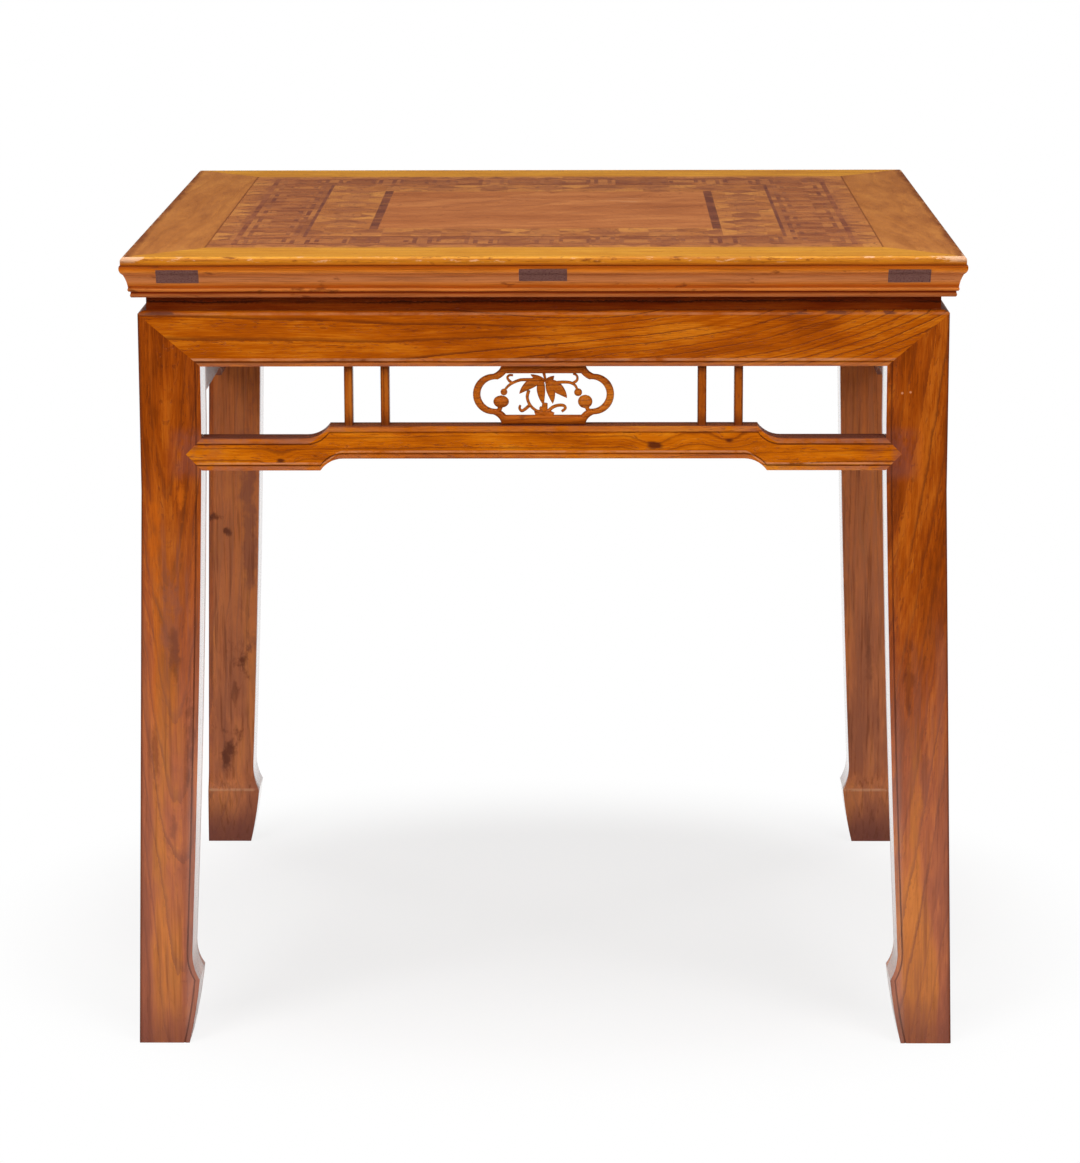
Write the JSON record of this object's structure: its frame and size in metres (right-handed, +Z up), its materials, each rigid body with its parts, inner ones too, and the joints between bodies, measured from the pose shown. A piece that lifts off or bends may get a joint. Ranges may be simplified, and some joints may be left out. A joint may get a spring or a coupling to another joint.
{
  "type": "square dining table",
  "caption": "Square waisted table with an inlaid top, beaded aprons, humpback stretchers with struts and carved pierced medallions, and tapering legs with horse-hoof feet.",
  "frame": {"origin": "centre of the footprint on the floor", "axes": "+Z up through the middle of the top, +X along the front edge to the right as seen from the front, +Y from front to back"},
  "size_m": [0.92, 0.92, 0.89],
  "materials": {
    "top_boards": "elm, waxed to a satin gloss",
    "pale_inlay": "yellow-brown parquetry, satin gloss",
    "dark_inlay": "dark red-brown parquetry, satin gloss",
    "field_wood": "reddish elm, satin gloss",
    "frieze_wood": "elm, waxed, worn at the edges",
    "leg_wood": "elm, waxed, paler and matt towards the floor",
    "carved_wood": "elm, carved, satin",
    "hidden_wood": "elm, planed and unwaxed",
    "bamboo": "bamboo, plain"
  },
  "bodies": {
    "root": {"top_front_board": "top_boards", "top_back_board": "top_boards", "top_left_board": "top_boards", "top_right_board": "top_boards", "ground_panel": "hidden_wood", "brace_middle": "hidden_wood", "brace_left": "hidden_wood", "brace_right": "hidden_wood", "border_pale": "pale_inlay", "fret_band": "pale_inlay", "brocade_pale": "pale_inlay", "field_strips_pale": "pale_inlay", "border_teeth": "dark_inlay", "border_line": "dark_inlay", "stringing": "dark_inlay", "brocade_dark": "dark_inlay", "field_bars_dark": "dark_inlay", "field_board": "field_wood", "leg_front_left": "leg_wood", "leg_front_right": "leg_wood", "leg_back_right": "leg_wood", "leg_back_left": "leg_wood", "waist_front": "frieze_wood", "apron_front": "frieze_wood", "stretcher_front": "frieze_wood", "medallion_front": "carved_wood", "strut_1_front": "frieze_wood", "strut_2_front": "frieze_wood", "strut_3_front": "frieze_wood", "strut_4_front": "frieze_wood", "waist_right": "frieze_wood", "apron_right": "frieze_wood", "stretcher_right": "frieze_wood", "medallion_right": "carved_wood", "strut_1_right": "frieze_wood", "strut_2_right": "frieze_wood", "strut_3_right": "frieze_wood", "strut_4_right": "frieze_wood", "waist_back": "frieze_wood", "apron_back": "frieze_wood", "stretcher_back": "frieze_wood", "medallion_back": "carved_wood", "strut_1_back": "frieze_wood", "strut_2_back": "frieze_wood", "strut_3_back": "frieze_wood", "strut_4_back": "frieze_wood", "waist_left": "frieze_wood", "apron_left": "frieze_wood", "stretcher_left": "frieze_wood", "medallion_left": "carved_wood", "strut_1_left": "frieze_wood", "strut_2_left": "frieze_wood", "strut_3_left": "frieze_wood", "strut_4_left": "frieze_wood", "medallion_pins": "bamboo"}
  },
  "joints": []
}
